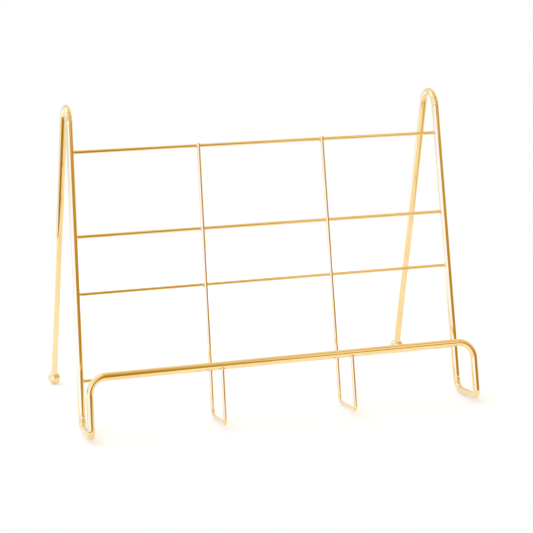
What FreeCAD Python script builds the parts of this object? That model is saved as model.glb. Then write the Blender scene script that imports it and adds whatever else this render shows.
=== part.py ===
import FreeCAD, Part
import math
import os

# A wire stand that shows an album or a book, leaning back on two legs.
# One thick wire makes both side loops and the front rail. Four thin crossbars
# and two thin hooked wires make the grid, and a ball tips each leg.
# +X is to the right of someone facing the stand, +Y is to its back, +Z is up.
# The origin is the middle of the footprint, on the table.

# Wire and ball sizes, in millimetres.
frame_wire_diameter = 5.0
grid_wire_diameter = 2.5
ball_diameter = 9.7
leg_insert_gap = 1.0  # from the ball's centre up to the leg's end inside it

# Side loops. Each lies in one plane that leans in towards the top.
foot_spacing = 278.0  # between the two side planes at table height
side_lean = 1.45  # degrees, each side plane from vertical
back_lean = 8.9  # degrees, uprights and risers from vertical
upright_length = 253.7  # from the heel corner to the corner that the top bend rounds off
leg_reach = 120.9  # from the heel corner back to the ball's centre
top_bend_radius = 11.2
heel_bend_radius = 8.3

# Tray, made by the feet, the risers and the front rail.
foot_depth = 34.6  # from the heel corner forward to the toe corner
foot_rise = 5.7  # degrees, feet climb towards the front
toe_bend_radius = 4.2
rail_height = 44.6
rail_bend_radius = 12.0

# Grid. Crossbars are placed by their distance up the uprights from the heel corner.
crossbar_places = {
    "crossbar_bottom": 31.6,
    "crossbar_lower": 91.0,
    "crossbar_upper": 130.2,
    "crossbar_top": 187.7,
}
hook_spacing = 94.2  # between the two hooked wires at table height
hook_lean = 0.6  # degrees, each hooked wire from vertical, towards the middle
hook_offset = 2.16  # hooked wires stand this far in front of the crossbars, centre to centre
hook_table_gap = 0.6  # thin feet hang this far clear of the table
hook_tip = 1.7  # hooked wires end this far above the top crossbar's centre
hook_tip_round = 0.35
hook_heel_radius = 4.2
hook_toe_radius = 2.7
hook_rail_offset = 0.65  # hooked wires meet the rail this far in front of its centre

frame_wire_radius = frame_wire_diameter / 2
grid_wire_radius = grid_wire_diameter / 2
ball_radius = ball_diameter / 2
back_slope = math.tan(math.radians(back_lean))
foot_slope = math.tan(math.radians(foot_rise))
along_upright = FreeCAD.Vector(0, math.sin(math.radians(back_lean)), math.cos(math.radians(back_lean)))


def leaning_point(spacing, lean, side, y, z):
    """Point of a leaning side plane. side is -1 on the left and 1 on the right."""
    x = spacing / 2 - z * math.tan(math.radians(lean))
    return FreeCAD.Vector(side * x, y, z)


def frame_point(side, y, z):
    return leaning_point(foot_spacing, side_lean, side, y, z)


def hook_point(side, y, z):
    return leaning_point(hook_spacing, hook_lean, side, y, z)


def heel_height(bend_radius, lowest_centre):
    """Height of the unrounded heel corner, so that the bend's lowest point has its centre at lowest_centre."""
    opening = math.radians(90 + back_lean - foot_rise)
    rise = math.radians(foot_rise)
    tangent = bend_radius / math.tan(opening / 2)
    dip = tangent * math.sin(rise) - bend_radius * (1 - math.cos(rise))
    return lowest_centre - dip


def bent_wire(points, bend_radii, diameter):
    """Round wire along straight runs, with a tangent arc at each inner point."""
    edges = []
    start = points[0]
    for before, corner, after, radius in zip(points, points[1:], points[2:], bend_radii):
        back = (before - corner).normalize()
        ahead = (after - corner).normalize()
        half_opening = back.getAngle(ahead) / 2
        tangent = radius / math.tan(half_opening)
        bisector = (back + ahead).normalize()
        centre = corner + bisector * (radius / math.sin(half_opening))
        arc_start = corner + back * tangent
        arc_end = corner + ahead * tangent
        edges.append(Part.LineSegment(start, arc_start).toShape())
        edges.append(Part.Arc(arc_start, centre - bisector * radius, arc_end).toShape())
        start = arc_end
    edges.append(Part.LineSegment(start, points[-1]).toShape())
    path = Part.Wire(edges)
    first_run = points[1] - points[0]
    section = Part.Face(Part.Wire(Part.makeCircle(diameter / 2, points[0], first_run)))
    wire = path.makePipe(section)
    print("wire length", round(path.Length, 1), "swept volume over section times length",
          round(wire.Volume / (section.Area * path.Length), 4))
    return wire


# Corner points of the side loops, before the bends round them off.
heel_z = heel_height(heel_bend_radius, frame_wire_radius)
toe_z = heel_z + foot_depth * foot_slope
rail_y = (rail_height - toe_z) * back_slope - foot_depth
heel_to_top = along_upright * upright_length


def side_loop(side):
    """Corners of one side loop, from the leg's end inside its ball round to the rail."""
    ball_centre = frame_point(side, leg_reach, ball_radius)
    top = frame_point(side, heel_to_top.y, heel_z + heel_to_top.z)
    leg_end = ball_centre + (top - ball_centre).normalize() * leg_insert_gap
    heel = frame_point(side, 0, heel_z)
    toe = frame_point(side, -foot_depth, toe_z)
    rail_corner = frame_point(side, rail_y, rail_height)
    return [leg_end, top, heel, toe, rail_corner]


def make_main_frame():
    """Left leg, upright, foot and riser, the front rail, and the same again on the right."""
    side_radii = [top_bend_radius, heel_bend_radius, toe_bend_radius, rail_bend_radius]
    points = side_loop(-1) + side_loop(1)[::-1]
    return bent_wire(points, side_radii + side_radii[::-1], frame_wire_diameter)


def make_hooked_wire(side):
    """Upright wire in front of the crossbars that hooks forward under the tray and up to the rail."""
    heel_corner_z = heel_height(hook_heel_radius, grid_wire_radius + hook_table_gap)
    forward = FreeCAD.Vector(0, -along_upright.z, along_upright.y)
    front_line = FreeCAD.Vector(0, 0, heel_z) + forward * hook_offset
    heel_y = front_line.y + (heel_corner_z - front_line.z) * back_slope
    tip = front_line + along_upright * (crossbar_places["crossbar_top"] + hook_tip)
    rail_end_y = rail_y - hook_rail_offset
    # The foot climbs forward from the heel until it meets the riser, which leans back to the rail.
    drop_to_heel = rail_height - heel_corner_z - heel_y * foot_slope
    toe_y = (rail_end_y - drop_to_heel * back_slope) / (1 + foot_slope * back_slope)
    toe_corner_z = heel_corner_z + (heel_y - toe_y) * foot_slope
    points = [
        hook_point(side, tip.y, tip.z),
        hook_point(side, heel_y, heel_corner_z),
        hook_point(side, toe_y, toe_corner_z),
        hook_point(side, rail_end_y, rail_height),
    ]
    wire = bent_wire(points, [hook_heel_radius, hook_toe_radius], grid_wire_diameter)
    tip_edges = [edge for edge in wire.Edges if is_rim_at(edge, points[0])]
    return wire.makeFillet(hook_tip_round, tip_edges)


def is_rim_at(edge, centre):
    """True for the closed edge round a wire's end at centre."""
    return edge.isClosed() and edge.CenterOfMass.distanceToPoint(centre) < 0.01


def make_crossbar(place):
    """Straight rod from the middle of one upright to the middle of the other."""
    on_upright = along_upright * place
    left = frame_point(-1, on_upright.y, heel_z + on_upright.z)
    right = frame_point(1, on_upright.y, heel_z + on_upright.z)
    return Part.makeCylinder(grid_wire_radius, left.distanceToPoint(right), left, right - left)


def make_ball(side):
    return Part.makeSphere(ball_radius, frame_point(side, leg_reach, ball_radius))


def build():
    """All nodes by name, each one closed solid, meeting its neighbours face to face."""
    nodes = {"main_frame": make_main_frame()}
    for name, side in (("left", -1), ("right", 1)):
        nodes["hooked_wire_" + name] = make_hooked_wire(side).cut(nodes["main_frame"])
        nodes["ball_foot_" + name] = make_ball(side).cut(nodes["main_frame"])
    grid_neighbours = [nodes["main_frame"], nodes["hooked_wire_left"], nodes["hooked_wire_right"]]
    for name, place in crossbar_places.items():
        nodes[name] = make_crossbar(place).cut(grid_neighbours)
    return nodes


def centred(nodes):
    """Moves the origin to the middle of the footprint. The left and right sides mirror each other already."""
    bounds = Part.Compound(list(nodes.values())).optimalBoundingBox()
    shift = FreeCAD.Vector(0, -(bounds.YMin + bounds.YMax) / 2, 0)
    for shape in nodes.values():
        shape.translate(shift)
    return nodes


os.makedirs("parts", exist_ok=True)
stand = centred(build())
for node_name, node_shape in stand.items():
    solid_count = len(node_shape.Solids)
    print(node_name, "solids", solid_count, "valid", node_shape.isValid(), "volume", round(node_shape.Volume, 1))
    node_shape.Solids[0].exportStep("parts/" + node_name + ".step")
size = Part.Compound(list(stand.values())).optimalBoundingBox()
print("size", round(size.XLength, 2), round(size.YLength, 2), round(size.ZLength, 2), "lowest", round(size.ZMin, 3))
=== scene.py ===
import math

import bmesh
import bpy
from mathutils import Matrix, Vector


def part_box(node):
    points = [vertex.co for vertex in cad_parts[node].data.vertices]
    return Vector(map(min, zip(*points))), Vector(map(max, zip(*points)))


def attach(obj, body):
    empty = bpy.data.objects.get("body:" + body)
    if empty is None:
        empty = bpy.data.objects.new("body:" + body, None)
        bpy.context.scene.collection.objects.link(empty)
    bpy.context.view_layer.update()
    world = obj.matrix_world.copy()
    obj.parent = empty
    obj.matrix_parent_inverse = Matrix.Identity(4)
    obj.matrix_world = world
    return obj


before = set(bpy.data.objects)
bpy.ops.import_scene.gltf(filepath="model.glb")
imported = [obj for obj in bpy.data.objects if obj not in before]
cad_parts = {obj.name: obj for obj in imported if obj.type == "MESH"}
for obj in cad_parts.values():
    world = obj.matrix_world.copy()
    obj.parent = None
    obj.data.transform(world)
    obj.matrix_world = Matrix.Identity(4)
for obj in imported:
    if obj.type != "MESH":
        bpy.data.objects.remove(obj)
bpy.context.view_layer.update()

# Looks of a gold-coloured wire stand. The wires and balls are the CAD nodes themselves.
# This script adds the finishes, the weld metal at the joints, the paper underneath,
# the room that the wires mirror, the lights and the camera.
# Metres, in the frame of the CAD model.
MM = 0.001

# Camera. Azimuth turns from the stand's front towards its right.
VIEW_AZIMUTH = -16.542
VIEW_ELEVATION = 11.811
VIEW_ROLL = 1.03
VIEW_DISTANCE = 1.0944
VIEW_TARGET = Vector((0.00088, -0.02321, 0.09946))
LENS_MM = 104.19
SENSOR_MM = 36.0

# Wire sizes and leans that the weld metal follows.
FRAME_WIRE_RADIUS = 2.5 * MM
GRID_WIRE_RADIUS = 1.25 * MM
SIDE_LEAN = math.radians(1.45)
HOOK_LEAN = math.radians(0.6)
BACK_LEAN = math.radians(8.9)
LEG_LEAN = math.radians(18.25)
RAIL_Y = -73.07 * MM
RAIL_HEIGHT = 44.6 * MM
HOOK_RAIL_OFFSET = 0.65 * MM
HOOK_OFFSET = 2.16 * MM

# Shapes of the weld metal.
CROSSBAR_FILLET_REACH = 0.55 * MM
RAIL_FILLET_REACH = 0.6 * MM
NECK_FILLET_REACH = 0.45 * MM
FILLET_SHARE = 0.75  # of a fillet's section that shows, the rest being sunk in the wire
FILLET_SINK = 0.12 * MM
NECK_SINK = 0.15 * MM
CROSSING_HUB = 1.15 * MM
CROSSING_WEB = 2.05 * MM
CROSSING_THICKNESS = 0.62 * MM

CROSSBARS = ("crossbar_bottom", "crossbar_lower", "crossbar_upper", "crossbar_top")
SIDES = {"left": -1, "right": 1}


# ---------------------------------------------------------------- finishes

def new_material(name):
    material = bpy.data.materials.new(name)
    material.use_nodes = True
    tree = material.node_tree
    shader = tree.nodes["Principled BSDF"]
    return material, tree, shader


def add_node(tree, kind, **settings):
    node = tree.nodes.new(kind)
    for key, value in settings.items():
        setattr(node, key, value)
    return node


def scaled_position(tree, stretch):
    """Object position with its own scale along each axis, which draws a pattern out along a wire."""
    place = add_node(tree, "ShaderNodeTexCoord")
    mapping = add_node(tree, "ShaderNodeMapping")
    mapping.inputs["Scale"].default_value = stretch
    tree.links.new(place.outputs["Object"], mapping.inputs["Vector"])
    return mapping.outputs["Vector"]


def noise(tree, vector, scale, detail=2.0, roughness=0.5):
    node = add_node(tree, "ShaderNodeTexNoise")
    node.inputs["Scale"].default_value = scale
    node.inputs["Detail"].default_value = detail
    node.inputs["Roughness"].default_value = roughness
    tree.links.new(vector, node.inputs["Vector"])
    return node.outputs["Fac"]


def map_range(tree, value, from_low, from_high, to_low, to_high, smooth=False):
    node = add_node(tree, "ShaderNodeMapRange")
    node.interpolation_type = "SMOOTHSTEP" if smooth else "LINEAR"
    node.inputs["From Min"].default_value = from_low
    node.inputs["From Max"].default_value = from_high
    node.inputs["To Min"].default_value = to_low
    node.inputs["To Max"].default_value = to_high
    tree.links.new(value, node.inputs["Value"])
    return node.outputs["Result"]


def fade(tree, value, low, high):
    """0 where value is at low, 1 where it is at high, and smooth between. low may be the larger."""
    return map_range(tree, value, low, high, 0, 1, True)


def math_node(tree, operation, first, second):
    node = add_node(tree, "ShaderNodeMath", operation=operation)
    for socket, value in zip(node.inputs, (first, second)):
        if isinstance(value, (int, float)):
            socket.default_value = value
        else:
            tree.links.new(value, socket)
    return node.outputs["Value"]


def weighted_sum(tree, *terms):
    """Sum of value times weight over pairs of them."""
    total = None
    for value, weight in terms:
        part = math_node(tree, "MULTIPLY", value, weight)
        total = part if total is None else math_node(tree, "ADD", total, part)
    return total


def mix_colour(tree, factor, first, second):
    node = add_node(tree, "ShaderNodeMix", data_type="RGBA")
    tree.links.new(factor, node.inputs["Factor"])
    for socket, value in ((node.inputs[6], first), (node.inputs[7], second)):
        if isinstance(value, tuple):
            socket.default_value = (*value, 1.0)
        else:
            tree.links.new(value, socket)
    return node.outputs[2]


# Tones of the plating, and the sizes of its marks as noise scales, larger for finer marks.
GOLD_DEEP = (0.88, 0.665, 0.30)
GOLD_PALE = (0.94, 0.75, 0.42)
TONE_DRIFT = 22.0
POLISH_PATCHES = 160.0
WAVES = 500.0
PITS = 2600.0
RELIEF_DEPTH = 0.02 * MM
COAT_WEIGHT = 0.25
COAT_ROUGHNESS = 0.05

# Dents where a tight bend has crumpled the wire: each place's depth, height and reach.
CREASE_GRAIN = 560.0
CREASE_DEPTH = 0.8 * MM
FRAME_CREASES = ((-45.5 * MM, 6.5 * MM, 6.0 * MM), (-11.0 * MM, 210.0 * MM, 6.5 * MM))
HOOK_CREASES = ((-46.5 * MM, 5.0 * MM, 4.5 * MM),)

# Each finish's roughness, from its best polish to its worst, and how strong its relief is.
WIRE_ROUGHNESS = (0.03, 0.08)
BALL_ROUGHNESS = (0.04, 0.10)
WELD_ROUGHNESS = (0.10, 0.24)
FRAME_WIRE_RELIEF = 0.09
GRID_WIRE_RELIEF = 0.07
BALL_RELIEF = 0.15
WELD_RELIEF = 0.5


def crease_mask(tree, creases):
    """1 at the middle of each crease and 0 past its reach, at any place across the stand."""
    profile = scaled_position(tree, (0, 1, 1))
    mask = None
    for y, z, reach in creases:
        gap = add_node(tree, "ShaderNodeVectorMath", operation="DISTANCE")
        tree.links.new(profile, gap.inputs[0])
        gap.inputs[1].default_value = (0, y, z)
        near = fade(tree, gap.outputs["Value"], reach, 0.5 * reach)
        mask = near if mask is None else math_node(tree, "ADD", mask, near)
    return mask


def add_bump(tree, height, strength, distance, normal=None):
    bump = add_node(tree, "ShaderNodeBump")
    bump.inputs["Strength"].default_value = strength
    bump.inputs["Distance"].default_value = distance
    tree.links.new(height, bump.inputs["Height"])
    if normal:
        tree.links.new(normal, bump.inputs["Normal"])
    return bump.outputs["Normal"]


def gold_finish(name, streaks_along, roughness, relief, creases=()):
    """Polished gold plating over drawn steel wire.

    streaks_along gives the stretches that draw the die lines out along the wires. Plating
    colour drifts slowly over the part, the polish changes in patches, and waves and fine
    pits break up the surface. creases are the places where a tight bend has dented it."""
    material, tree, shader = new_material(name)
    free = scaled_position(tree, (1, 1, 1))
    drift = noise(tree, free, TONE_DRIFT, 3.0)
    patches = noise(tree, free, POLISH_PATCHES, 4.0, 0.6)
    waves = noise(tree, free, WAVES, 1.0)
    pits = noise(tree, free, PITS, 2.0)
    lines = None
    for stretch in streaks_along:
        found = noise(tree, scaled_position(tree, stretch), 1.0, 3.0, 0.6)
        lines = found if lines is None else math_node(tree, "MULTIPLY", lines, found)
    tone = weighted_sum(tree, (drift, 0.7), (patches, 0.3))
    colour = mix_colour(tree, map_range(tree, tone, 0.35, 0.65, 0.0, 1.0), GOLD_DEEP, GOLD_PALE)
    tree.links.new(colour, shader.inputs["Base Color"])
    polish = weighted_sum(tree, (patches, 0.6), (lines, 0.4))
    spread = map_range(tree, polish, 0.3, 0.7, roughness[0], roughness[1])
    tree.links.new(spread, shader.inputs["Roughness"])
    height = weighted_sum(tree, (lines, 0.3), (pits, 0.05), (waves, 0.4))
    surface = add_bump(tree, height, relief, RELIEF_DEPTH)
    if creases:
        crumple = math_node(tree, "SUBTRACT", noise(tree, free, CREASE_GRAIN, 1.0), 0.5)
        dents = math_node(tree, "MULTIPLY", crease_mask(tree, creases), crumple)
        surface = add_bump(tree, dents, 1.0, CREASE_DEPTH, surface)
    tree.links.new(surface, shader.inputs["Normal"])
    shader.inputs["Metallic"].default_value = 1.0
    shader.inputs["Coat Weight"].default_value = COAT_WEIGHT
    shader.inputs["Coat Roughness"].default_value = COAT_ROUGHNESS
    return material


def frame_wire_gold():
    along_rail = (30, 3500, 3500)
    along_sides = (3500, 60, 60)
    streaks = (along_rail, along_sides)
    return gold_finish("gold_frame_wire_finish", streaks, WIRE_ROUGHNESS, FRAME_WIRE_RELIEF, FRAME_CREASES)


def grid_wire_gold():
    along_bars = (30, 5000, 5000)
    along_hooks = (5000, 60, 60)
    streaks = (along_bars, along_hooks)
    return gold_finish("gold_grid_wire_finish", streaks, WIRE_ROUGHNESS, GRID_WIRE_RELIEF, HOOK_CREASES)


def ball_gold():
    return gold_finish("gold_ball_finish", ((900, 900, 900),), BALL_ROUGHNESS, BALL_RELIEF)


def weld_gold():
    return gold_finish("gold_weld_finish", ((1400, 1400, 1400),), WELD_ROUGHNESS, WELD_RELIEF)


# ---------------------------------------------------------------- weld metal

def closed_ring(name, point_at, around, across, material):
    """Closed surface from point_at(turn, step), both from 0 to 1 and both closing on themselves."""
    mesh = bmesh.new()
    rings = []
    for i in range(around):
        turn = i / around
        rings.append([mesh.verts.new(point_at(turn, j / across)) for j in range(across)])
    for i in range(around):
        ring, after = rings[i], rings[(i + 1) % around]
        for j in range(across):
            k = (j + 1) % across
            mesh.faces.new((ring[j], ring[k], after[k], after[j]))
    bmesh.ops.recalc_face_normals(mesh, faces=mesh.faces)
    data = bpy.data.meshes.new(name)
    mesh.to_mesh(data)
    mesh.free()
    for face in data.polygons:
        face.use_smooth = True
    data.materials.append(material)
    piece = bpy.data.objects.new(name, data)
    bpy.context.scene.collection.objects.link(piece)
    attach(piece, "root")
    return piece


def local_axes(out, along):
    """Matrix of three square axes: out, across and along, with out kept and along made square to it."""
    out = out.normalized()
    along = (along - out * along.dot(out)).normalized()
    return Matrix((out, along.cross(out), along)).transposed()


def ripple(turn, phase):
    """Uneven edge of hand-set weld metal, about 1."""
    slow = 0.14 * math.sin(2 * math.tau * turn + phase)
    quick = 0.08 * math.sin(3 * math.tau * turn + 2.3 * phase)
    return 1 + slow + quick


def fillet_section(step, wire_radius, width, sink):
    """Distance from the thin wire's axis, and height above the host, round a fillet's section."""
    if step >= FILLET_SHARE:
        return wire_radius - sink, -sink
    bend = step / FILLET_SHARE * math.pi / 2
    return wire_radius + width * (1 - math.cos(bend)), width * (1 - math.sin(bend))


def butt_weld(name, centre, out, along, reach, offset, phase, material):
    """Concave fillet where a grid wire ends on the frame wire, its host.

    centre is on the grid wire's axis abreast of the host's axis, out points along the grid
    wire away from the host, and along is the host's axis. offset is how far the grid wire's
    axis passes the host's."""
    axes = local_axes(out, along)
    bite = 0.01 * MM

    def point_at(turn, step):
        angle = math.tau * turn
        width = reach * ripple(turn, phase)
        radius, lift = fillet_section(step, GRID_WIRE_RADIUS, width, FILLET_SINK)
        across = radius * math.cos(angle)
        from_axis = min(abs(across + offset), 0.97 * FRAME_WIRE_RADIUS)
        from_host = math.sqrt(FRAME_WIRE_RADIUS ** 2 - from_axis ** 2)
        return centre + axes @ Vector((from_host + lift - bite, across, radius * math.sin(angle)))

    return closed_ring(name, point_at, 48, 16, material)


def cross_weld(name, centre, towards_front, along, phase, material):
    """Flash squeezed out where a hooked wire crosses a crossbar and the two are pressed and welded.

    It is a thin web in the four corners of the crossing, widest on the diagonals."""
    axes = local_axes(towards_front, along)

    def point_at(turn, step):
        angle = math.tau * turn
        diagonal = math.sin(2 * angle) ** 2
        edge = (CROSSING_HUB + (CROSSING_WEB - CROSSING_HUB) * diagonal) * ripple(turn, phase)
        bend = math.tau * step
        radius = 0.5 * edge * (1.02 + math.cos(bend))
        height = CROSSING_THICKNESS * math.sin(bend) * (1 - 0.55 * diagonal * (radius / edge))
        return centre + axes @ Vector((height, radius * math.cos(angle), radius * math.sin(angle)))

    return closed_ring(name, point_at, 48, 16, material)


def neck_weld(name, centre, up, ball_radius, phase, material):
    """Fillet of solder round a leg where it goes into its ball."""
    axes = local_axes(up, Vector((1, 0, 0)))

    def point_at(turn, step):
        angle = math.tau * turn
        width = NECK_FILLET_REACH * ripple(turn, phase)
        radius, lift = fillet_section(step, FRAME_WIRE_RADIUS, width, NECK_SINK)
        height = math.sqrt(ball_radius ** 2 - radius ** 2) + lift
        return centre + axes @ Vector((height, radius * math.cos(angle), radius * math.sin(angle)))

    return closed_ring(name, point_at, 64, 16, material)


def middle_of(node):
    low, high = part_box(node)
    return (low + high) / 2


def upright_direction(side, lean):
    """Unit vector up a wire that leans back, and in towards the middle."""
    return Vector((-side * math.tan(lean), math.tan(BACK_LEAN), 1)).normalized()


def hook_centre(side, height):
    """How far a hooked wire's centre is from the middle at a height, from its own box."""
    low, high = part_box("hooked_wire_" + ("left" if side < 0 else "right"))
    outer = max(abs(low.x), abs(high.x)) - GRID_WIRE_RADIUS
    return side * (outer - (height - low.z) * math.tan(HOOK_LEAN))


def make_crossbar_welds(material):
    """A fillet at both ends of each crossbar."""
    for index, node in enumerate(CROSSBARS):
        middle = middle_of(node)
        cope = math.sqrt(FRAME_WIRE_RADIUS ** 2 - GRID_WIRE_RADIUS ** 2)
        reach_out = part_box(node)[1].x + cope
        for side_name, side in SIDES.items():
            butt_weld(
                node + "_weld_" + side_name,
                Vector((side * reach_out, middle.y, middle.z)),
                Vector((-side, 0, 0)),
                upright_direction(side, SIDE_LEAN),
                CROSSBAR_FILLET_REACH,
                0.0,
                1.7 * index + side,
                material,
            )


def make_crossing_welds(material):
    """Flash at the eight places where a hooked wire lies on a crossbar."""
    towards_front = Vector((0, -math.cos(BACK_LEAN), math.sin(BACK_LEAN)))
    for index, node in enumerate(CROSSBARS):
        middle = middle_of(node)
        for side_name, side in SIDES.items():
            on_crossbar = Vector((hook_centre(side, middle.z), middle.y, middle.z))
            cross_weld(
                "hooked_wire_" + side_name + "_weld_" + node.split("_")[1],
                on_crossbar + towards_front * HOOK_OFFSET / 2,
                towards_front,
                upright_direction(side, HOOK_LEAN),
                2.1 * index + 1.3 * side,
                material,
            )


def make_rail_welds(material):
    """A fillet under the rail at the top of each thin riser."""
    for side_name, side in SIDES.items():
        up = upright_direction(side, HOOK_LEAN)
        butt_weld(
            "hooked_wire_" + side_name + "_weld_rail",
            Vector((hook_centre(side, RAIL_HEIGHT), RAIL_Y - HOOK_RAIL_OFFSET, RAIL_HEIGHT)),
            -up,
            Vector((side, 0, 0)),
            RAIL_FILLET_REACH,
            side * HOOK_RAIL_OFFSET,
            0.9 * side,
            material,
        )


def make_neck_welds(material):
    """Solder where each leg goes into its ball."""
    for side_name, side in SIDES.items():
        low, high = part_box("ball_foot_" + side_name)
        radius = (high.x - low.x) / 2
        centre = Vector(((low.x + high.x) / 2, (low.y + high.y) / 2, low.z + radius))
        up = Vector((-side * math.tan(SIDE_LEAN), -math.tan(LEG_LEAN), 1))
        neck_weld("ball_foot_" + side_name + "_weld", centre, up, radius, 1.1 * side, material)


def dress_cad_nodes():
    """Puts the finishes on the CAD nodes by their material slots."""
    finishes = {
        "gold_frame_wire": frame_wire_gold(),
        "gold_grid_wire": grid_wire_gold(),
        "gold_ball": ball_gold(),
    }
    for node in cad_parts.values():
        for slot in node.material_slots:
            slot.material = finishes[slot.material.name.split(".")[0]]


# ---------------------------------------------------------------- studio

def make_camera():
    azimuth = math.radians(VIEW_AZIMUTH)
    elevation = math.radians(VIEW_ELEVATION)
    back = Vector((
        math.sin(azimuth) * math.cos(elevation),
        -math.cos(azimuth) * math.cos(elevation),
        math.sin(elevation),
    ))
    data = bpy.data.cameras.new("camera")
    data.lens = LENS_MM
    data.sensor_width = SENSOR_MM
    data.clip_start = 0.05
    data.clip_end = 50.0
    camera = bpy.data.objects.new("camera", data)
    camera.location = VIEW_TARGET + back * VIEW_DISTANCE
    turn = (-back).to_track_quat("-Z", "Y").to_matrix()
    roll = Matrix.Rotation(math.radians(-VIEW_ROLL), 3, "Z")
    camera.rotation_euler = (turn @ roll).to_euler()
    bpy.context.scene.collection.objects.link(camera)
    bpy.context.scene.camera = camera


# Paper, laid at an angle. PAPER_EDGE is a point on its front edge, and it reaches from
# there to its left and right ends and back over its depth.
PAPER_TURN = math.radians(-33)
PAPER_EDGE = Vector((-0.10, -0.15, 0.0))
PAPER_TO_LEFT = 0.50
PAPER_TO_RIGHT = 0.26
PAPER_DEPTH = 0.70
PAPER_DARK_FIBRE = (0.86, 0.86, 0.86)
PAPER_LIGHT_FIBRE = (0.90, 0.90, 0.90)
PAPER_GLOW = (0.235, 0.25, 0.25)
# Cool window light on its back left part, which starts and is full at these distances that way.
PAPER_WINDOW_GLOW = (0.30, 0.55, 1.20)
PAPER_WINDOW_SIDE = (-0.5, 0.87, 0.0)
PAPER_WINDOW_START = 0.12
PAPER_WINDOW_FULL = 0.30


def make_paper():
    """Large sheet of pale paper that the stand stands on, with its front edge close to the stand.

    Its own glow stands for the light that a studio throws on it from all round."""
    along = Vector((math.cos(PAPER_TURN), math.sin(PAPER_TURN), 0))
    away = Vector((-along.y, along.x, 0))
    front_left = PAPER_EDGE - along * PAPER_TO_LEFT
    front_right = PAPER_EDGE + along * PAPER_TO_RIGHT
    depth = away * PAPER_DEPTH
    corners = (front_left, front_right, front_right + depth, front_left + depth)
    mesh = bmesh.new()
    mesh.faces.new([mesh.verts.new(corner) for corner in corners])
    data = bpy.data.meshes.new("paper")
    mesh.to_mesh(data)
    mesh.free()
    paper = bpy.data.objects.new("paper", data)
    bpy.context.scene.collection.objects.link(paper)
    material, tree, shader = new_material("pale_paper")
    fibres = noise(tree, scaled_position(tree, (1, 1, 1)), 900.0, 4.0)
    colour = mix_colour(tree, fibres, PAPER_DARK_FIBRE, PAPER_LIGHT_FIBRE)
    tree.links.new(colour, shader.inputs["Base Color"])
    towards_window = add_node(tree, "ShaderNodeVectorMath", operation="DOT_PRODUCT")
    tree.links.new(scaled_position(tree, (1, 1, 1)), towards_window.inputs[0])
    towards_window.inputs[1].default_value = PAPER_WINDOW_SIDE
    lit = fade(tree, towards_window.outputs["Value"], PAPER_WINDOW_START, PAPER_WINDOW_FULL)
    glow = mix_colour(tree, lit, PAPER_GLOW, PAPER_WINDOW_GLOW)
    tree.links.new(glow, shader.inputs["Emission Color"])
    shader.inputs["Emission Strength"].default_value = 1.0
    shader.inputs["Roughness"].default_value = 0.9
    shader.inputs["Specular IOR Level"].default_value = 0.1
    data.materials.append(material)


def facing(tree, direction_socket, azimuth, elevation=0.0):
    """How much the looked-at direction of the room faces a given one, from -1 to 1."""
    a = math.radians(azimuth)
    e = math.radians(elevation)
    node = add_node(tree, "ShaderNodeVectorMath", operation="DOT_PRODUCT")
    tree.links.new(direction_socket, node.inputs[0])
    facing_it = (math.sin(a) * math.cos(e), -math.cos(a) * math.cos(e), math.sin(e))
    node.inputs[1].default_value = facing_it
    return node.outputs["Value"]


# Room. Its left half is daylight from windows, with a pale upper part and a wall at its far left.
DAYLIGHT = (1.11, 1.36, 2.50)
REAR_DAYLIGHT = (0.92, 1.02, 1.35)
UPPER_DAYLIGHT = (0.92, 0.87, 0.92)
LEFT_WALL = (0.72, 0.58, 0.36)
HALF_LIGHT = (0.93, 0.84, 0.60)  # where the daylight meets the warm side
DAYLIGHT_EDGE = -2.0  # azimuth in degrees

# Its right half is warm and dimmer: amber at the horizon and near the front, and peach to the right.
HORIZON_AMBER = (0.50, 0.265, 0.0)
WALL_AMBER = (0.50, 0.32, 0.01)
WALL_PEACH = (0.82, 0.55, 0.22)
CEILING = (0.80, 0.63, 0.36)
BACK_WALL = (0.98, 0.98, 1.00)

# The table, past the paper's edges: dark in front, lighter to the right and pale behind.
TABLE_DARK = (0.47, 0.25, 0.0)
TABLE_LIGHT = (0.80, 0.58, 0.24)
TABLE_BEHIND = (1.0, 0.95, 0.80)
TABLE_IN_DAYLIGHT = (0.96, 1.04, 1.35)

# Where one tone of the room fades into the next, by how much the looked-at direction
# faces right, up, behind and left, each from -1 to 1.
AMBER_TO_PEACH = (0.15, 0.4)
DAYLIGHT_TO_FAR_LEFT = (-0.90, -0.96)
DARK_TO_LIGHT_TABLE = (0.12, 0.4)

HORIZON_TO_WALL = (-0.1, 0.35)
WALL_TO_CEILING = (0.4, 1.0)
SILL_TO_LEFT_WALL = (0.02, 0.10)
DAYLIGHT_TO_UPPER = (0.3, 0.75)
ROOM_TO_TABLE = (-0.10, -0.16)

WARM_TO_BACK_WALL = (-0.15, 0.4)
DAYLIGHT_TO_REAR = (0.1, 0.7)
TABLE_TO_BEHIND = (-0.30, -0.08)

WARM_TO_HALF_LIGHT = (-0.12, 0.06)
HALF_LIGHT_TO_DAYLIGHT = (0.0, 0.25)


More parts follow.
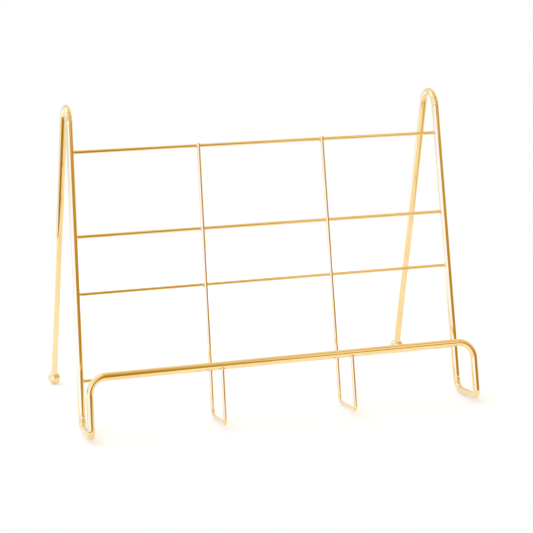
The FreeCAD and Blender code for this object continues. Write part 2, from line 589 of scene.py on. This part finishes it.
def room_colour(tree, direction):
    """Colour of the room in each direction."""
    up = facing(tree, direction, 0, 90)
    right = facing(tree, direction, 90)
    behind = facing(tree, direction, 180)
    left = facing(tree, direction, DAYLIGHT_EDGE - 90)

    wall = mix_colour(tree, fade(tree, right, *AMBER_TO_PEACH), WALL_AMBER, WALL_PEACH)
    warm = mix_colour(tree, fade(tree, up, *HORIZON_TO_WALL), HORIZON_AMBER, wall)
    warm = mix_colour(tree, fade(tree, up, *WALL_TO_CEILING), warm, CEILING)
    warm = mix_colour(tree, fade(tree, behind, *WARM_TO_BACK_WALL), warm, BACK_WALL)

    daylight = mix_colour(tree, fade(tree, behind, *DAYLIGHT_TO_REAR), DAYLIGHT, REAR_DAYLIGHT)
    far_left = fade(tree, right, *DAYLIGHT_TO_FAR_LEFT)
    above_sill = fade(tree, up, *SILL_TO_LEFT_WALL)
    daylight = mix_colour(tree, math_node(tree, "MULTIPLY", far_left, above_sill), daylight, LEFT_WALL)
    daylight = mix_colour(tree, fade(tree, up, *DAYLIGHT_TO_UPPER), daylight, UPPER_DAYLIGHT)

    colour = mix_colour(tree, fade(tree, left, *WARM_TO_HALF_LIGHT), warm, HALF_LIGHT)
    in_daylight = fade(tree, left, *HALF_LIGHT_TO_DAYLIGHT)
    colour = mix_colour(tree, in_daylight, colour, daylight)

    table = mix_colour(tree, fade(tree, right, *DARK_TO_LIGHT_TABLE), TABLE_DARK, TABLE_LIGHT)
    table_behind = mix_colour(tree, in_daylight, TABLE_BEHIND, TABLE_IN_DAYLIGHT)
    table = mix_colour(tree, fade(tree, behind, *TABLE_TO_BEHIND), table, table_behind)
    return mix_colour(tree, fade(tree, up, *ROOM_TO_TABLE), colour, table)


def make_room():
    """Soft surroundings that light the stand and that its wires mirror.

    Seen directly, they are plain white."""
    world = bpy.data.worlds.new("studio")
    bpy.context.scene.world = world
    world.use_nodes = True
    tree = world.node_tree
    place = add_node(tree, "ShaderNodeTexCoord")
    colour = room_colour(tree, place.outputs["Generated"])
    mirrored = tree.nodes["Background"]
    tree.links.new(colour, mirrored.inputs["Color"])
    plain = add_node(tree, "ShaderNodeBackground")
    plain.inputs["Color"].default_value = (1.0, 1.0, 1.0, 1.0)
    rays = add_node(tree, "ShaderNodeLightPath")
    choice = add_node(tree, "ShaderNodeMixShader")
    tree.links.new(rays.outputs["Is Camera Ray"], choice.inputs["Fac"])
    tree.links.new(mirrored.outputs["Background"], choice.inputs[1])
    tree.links.new(plain.outputs["Background"], choice.inputs[2])
    tree.links.new(choice.outputs["Shader"], tree.nodes["World Output"].inputs["Surface"])


def make_softbox(name, place, aim, width, height, radiance):
    """Rectangular light with a radiance for red, green and blue, which the camera doesn't see."""
    brightest = max(radiance)
    data = bpy.data.lights.new(name, "AREA")
    data.shape = "RECTANGLE"
    data.size = width
    data.size_y = height
    data.energy = brightest * math.pi * width * height
    data.color = [part / brightest for part in radiance]
    light = bpy.data.objects.new(name, data)
    light.location = place
    light.rotation_euler = (aim - place).to_track_quat("-Z", "Y").to_euler()
    light.visible_camera = False
    bpy.context.scene.collection.objects.link(light)


def make_lights():
    make_softbox(
        "overhead_light",
        place=Vector((-0.80, 0.45, 1.25)),
        aim=Vector((0.05, 0.30, 0)),
        width=1.1,
        height=1.4,
        radiance=(0.45, 0.60, 0.50),
    )
    make_softbox(
        "strip_light",
        place=Vector((0.70, -1.42, 1.14)),
        aim=Vector((0, 0, 1.14)),
        width=0.5,
        height=1.4,
        radiance=(0.32, 0.38, 0.40),
    )


bpy.context.scene.view_settings.view_transform = "Standard"
make_camera()
make_paper()
make_room()
make_lights()
dress_cad_nodes()
weld_finish = weld_gold()
make_crossbar_welds(weld_finish)
make_crossing_welds(weld_finish)
make_rail_welds(weld_finish)
make_neck_welds(weld_finish)
